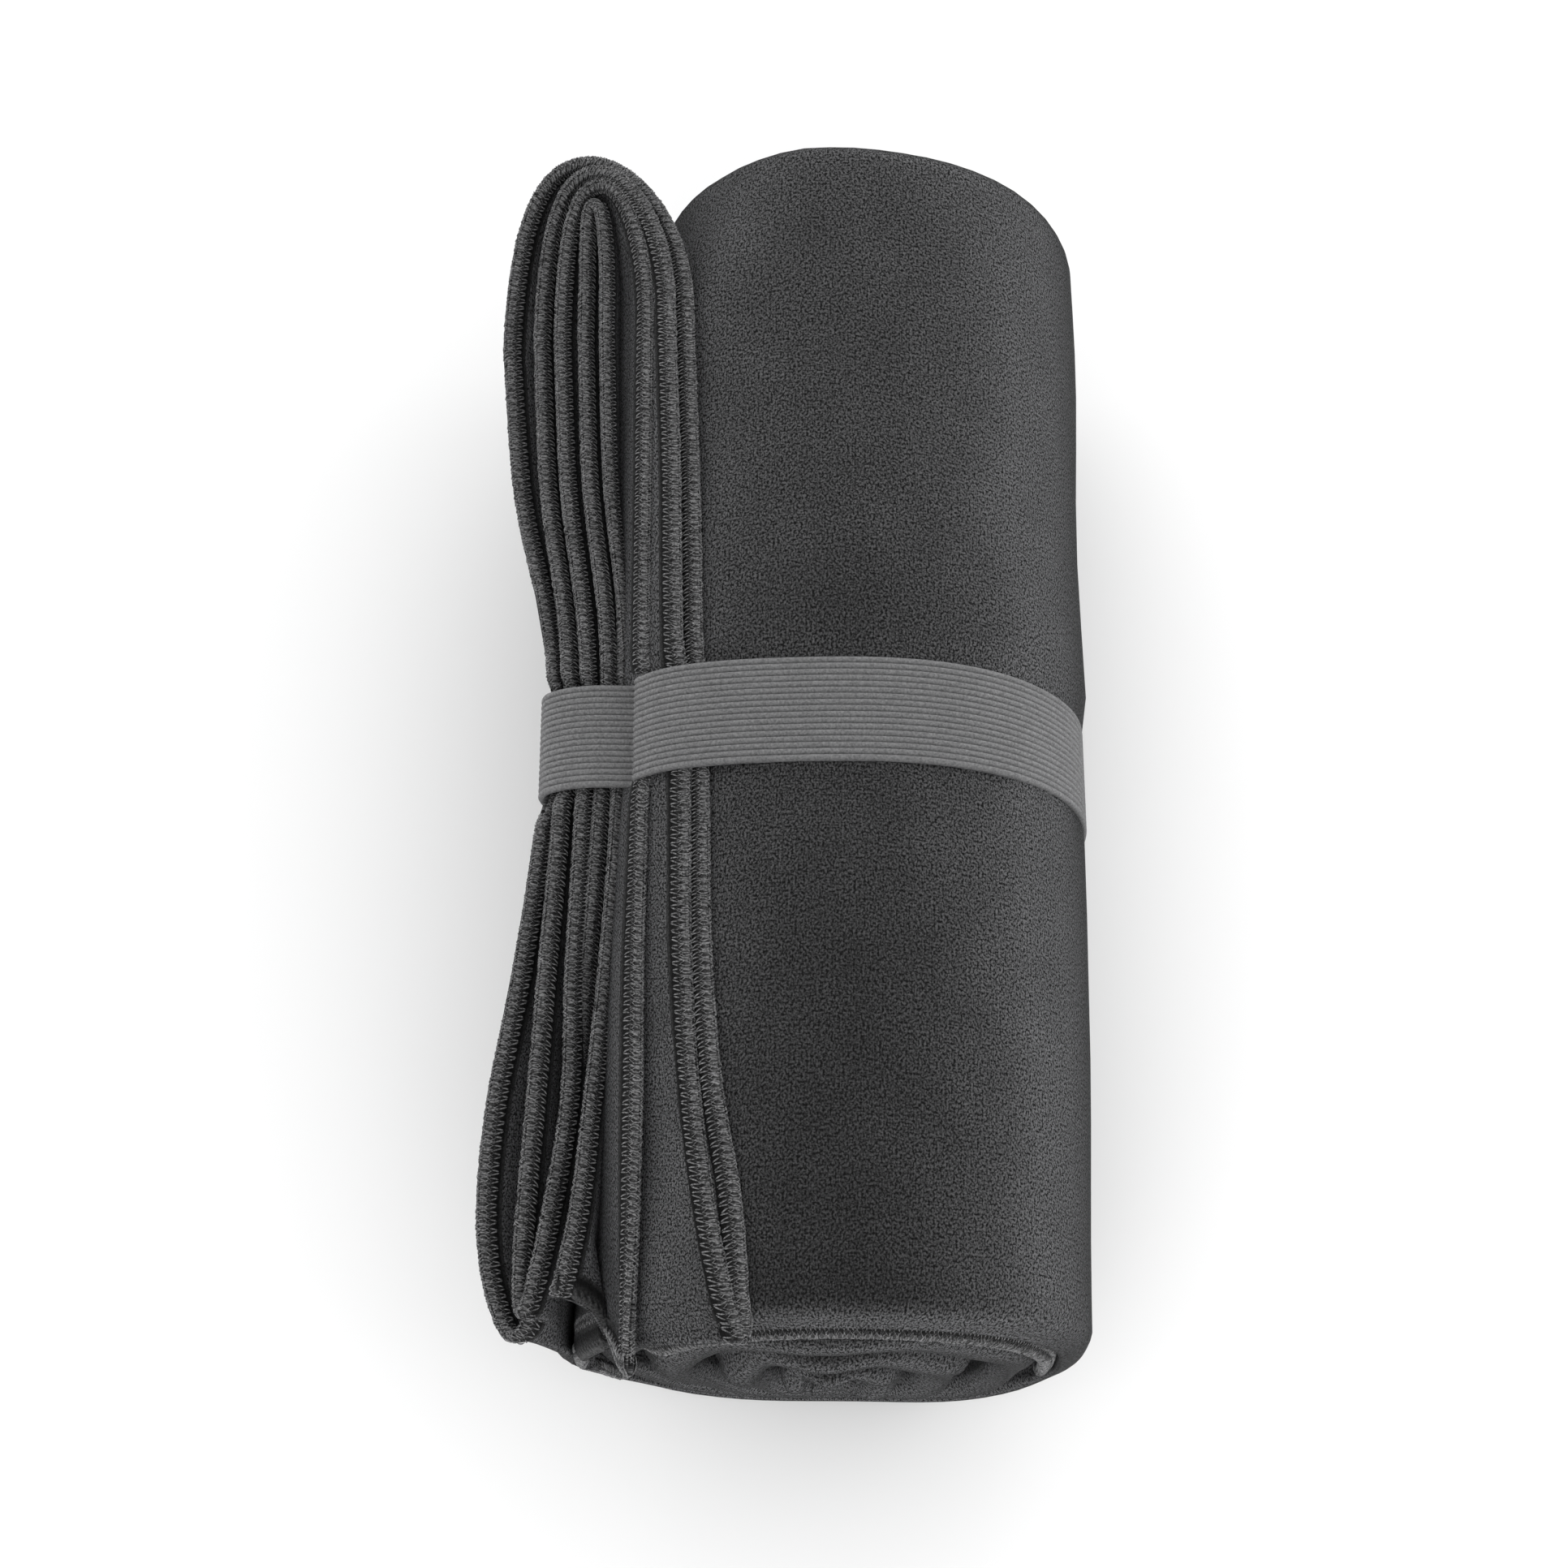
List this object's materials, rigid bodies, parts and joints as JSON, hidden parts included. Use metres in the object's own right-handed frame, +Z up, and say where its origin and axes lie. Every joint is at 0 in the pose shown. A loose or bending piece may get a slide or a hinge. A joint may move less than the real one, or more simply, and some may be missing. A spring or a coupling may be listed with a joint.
{
  "type": "rolled microfiber towel",
  "caption": "Charcoal microfiber towel folded into a long strip and rolled, its loose end a stack of overlocked hems, held by a ribbed elastic band round the middle.",
  "frame": {"origin": "middle of the underside of the lying roll", "axes": "+Y along the roll towards the end away from the free corners, +Z up, loose end on the -X side"},
  "size_m": [0.1156, 0.2344, 0.095],
  "materials": {
    "charcoal_microfiber": "brushed knit with a soft sheen",
    "grey_elastic": "ribbed woven elastic, matte"
  },
  "bodies": {
    "root": {"towel": "charcoal_microfiber", "band": "grey_elastic"}
  },
  "joints": []
}
